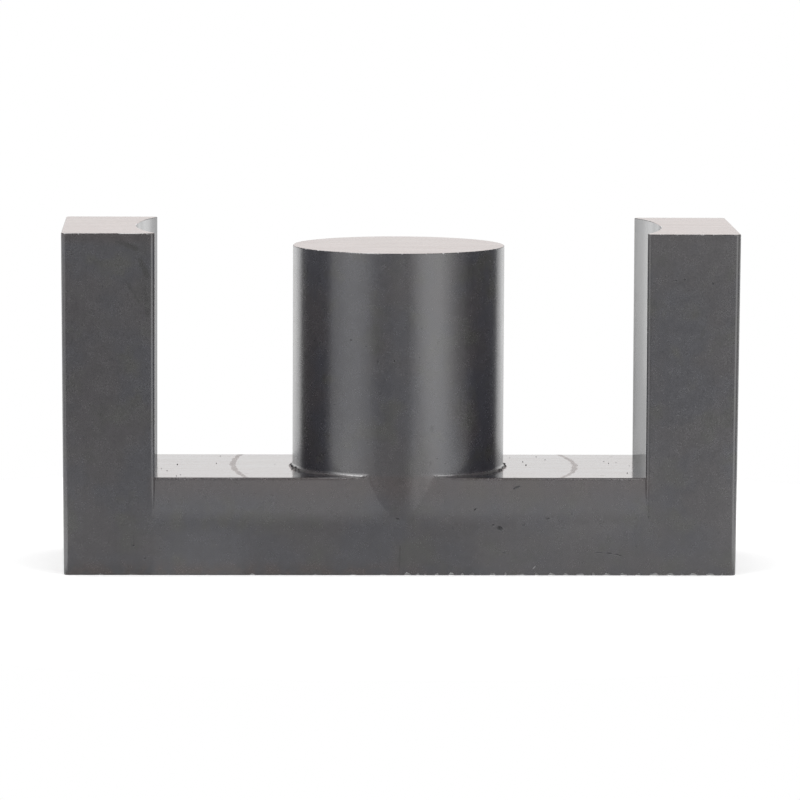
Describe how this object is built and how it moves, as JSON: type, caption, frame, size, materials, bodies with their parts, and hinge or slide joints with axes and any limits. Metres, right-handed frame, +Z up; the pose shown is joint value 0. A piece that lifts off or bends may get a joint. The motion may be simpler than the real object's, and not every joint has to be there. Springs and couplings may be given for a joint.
{
  "type": "ferrite e core",
  "caption": "E-shaped ferrite core half with a flat yoke, hollow-faced outer legs and a round, gapped centre post, for a transformer or choke.",
  "frame": {"origin": "middle of the flat back face of the yoke, which the core stands on", "axes": "+Z up the centre post from the back face to the mating faces, +X along the length over both legs, +Y through the depth of the core"},
  "size_m": [0.0342, 0.0108, 0.0173],
  "materials": {
    "ferrite": "dark grey sintered ferrite, satin as fired, with finely ground mating faces"
  },
  "bodies": {
    "root": {"e_core": "ferrite"}
  },
  "joints": []
}
